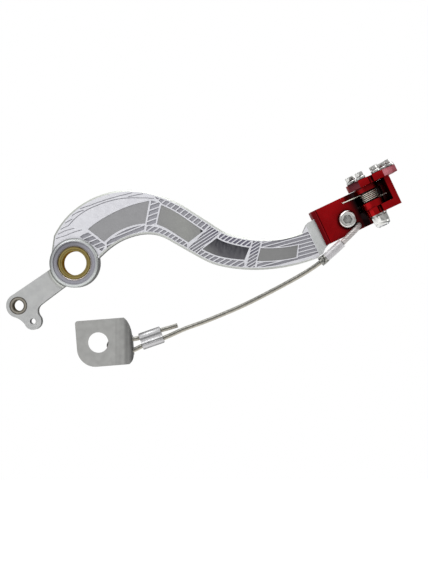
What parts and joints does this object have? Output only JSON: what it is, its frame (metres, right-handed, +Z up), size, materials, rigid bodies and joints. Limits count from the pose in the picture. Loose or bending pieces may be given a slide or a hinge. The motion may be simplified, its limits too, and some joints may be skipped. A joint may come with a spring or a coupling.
{
  "type": "rear brake pedal",
  "caption": "Curved alloy brake pedal with a ribbed relief, a bushed pivot, a clevis lug, a sprung folding toe with grip studs, and a safety rope to a frame tab",
  "frame": {"origin": "centre of the pivot bore", "axes": "+X from the pivot towards the toe, +Z up, -Y outboard along the pivot bore"},
  "size_m": [0.297, 0.0611, 0.1557],
  "materials": {
    "arm_alloy": "bead-blasted silver with bright ribs",
    "bush_bronze": "satin",
    "bush_steel": "satin",
    "red_alloy": "red anodised, satin",
    "screw_steel": "zinc plated",
    "spring_steel": "drawn wire",
    "rope_coated": "steel rope under a clear coat",
    "sleeve_clear": "milky",
    "crimp_alloy": "satin",
    "crimp_dark": "grey",
    "tab_steel": "matte",
    "insert_plastic": "matte"
  },
  "bodies": {
    "lever": {"lever_arm": "arm_alloy", "pivot_bush": "bush_bronze", "clevis_bush": "bush_steel", "head_bracket": "red_alloy", "bracket_screw": "screw_steel", "spring_sleeve": "screw_steel", "torsion_spring": "spring_steel", "brake_cable": "rope_coated", "cable_stop": "crimp_alloy", "clear_sleeve": "sleeve_clear", "crimp_sleeve": "crimp_alloy", "crimp_ring": "crimp_dark", "cable_ferrule": "crimp_alloy", "frame_tab": "tab_steel"},
    "toe": {"toe_body": "red_alloy", "toe_bolt": "screw_steel", "bolt_washer": "screw_steel", "lock_nut": "screw_steel", "nut_insert": "insert_plastic", "stud_1": "screw_steel", "stud_2": "screw_steel", "stud_3": "screw_steel", "stud_4": "screw_steel", "stud_5": "screw_steel", "stud_6": "screw_steel"}
  },
  "joints": [
    {"name": "toe_fold", "type": "hinge", "parent": "lever", "child": "toe", "pos_m": [0.22374, -0.02, 0.04764], "axis": [0.4274, 0, -0.9041], "range_deg": [0, 80], "stiffness_Nm_per_rad": 0.25, "springref_deg": -34.38, "deforming": ["torsion_spring"]}
  ]
}
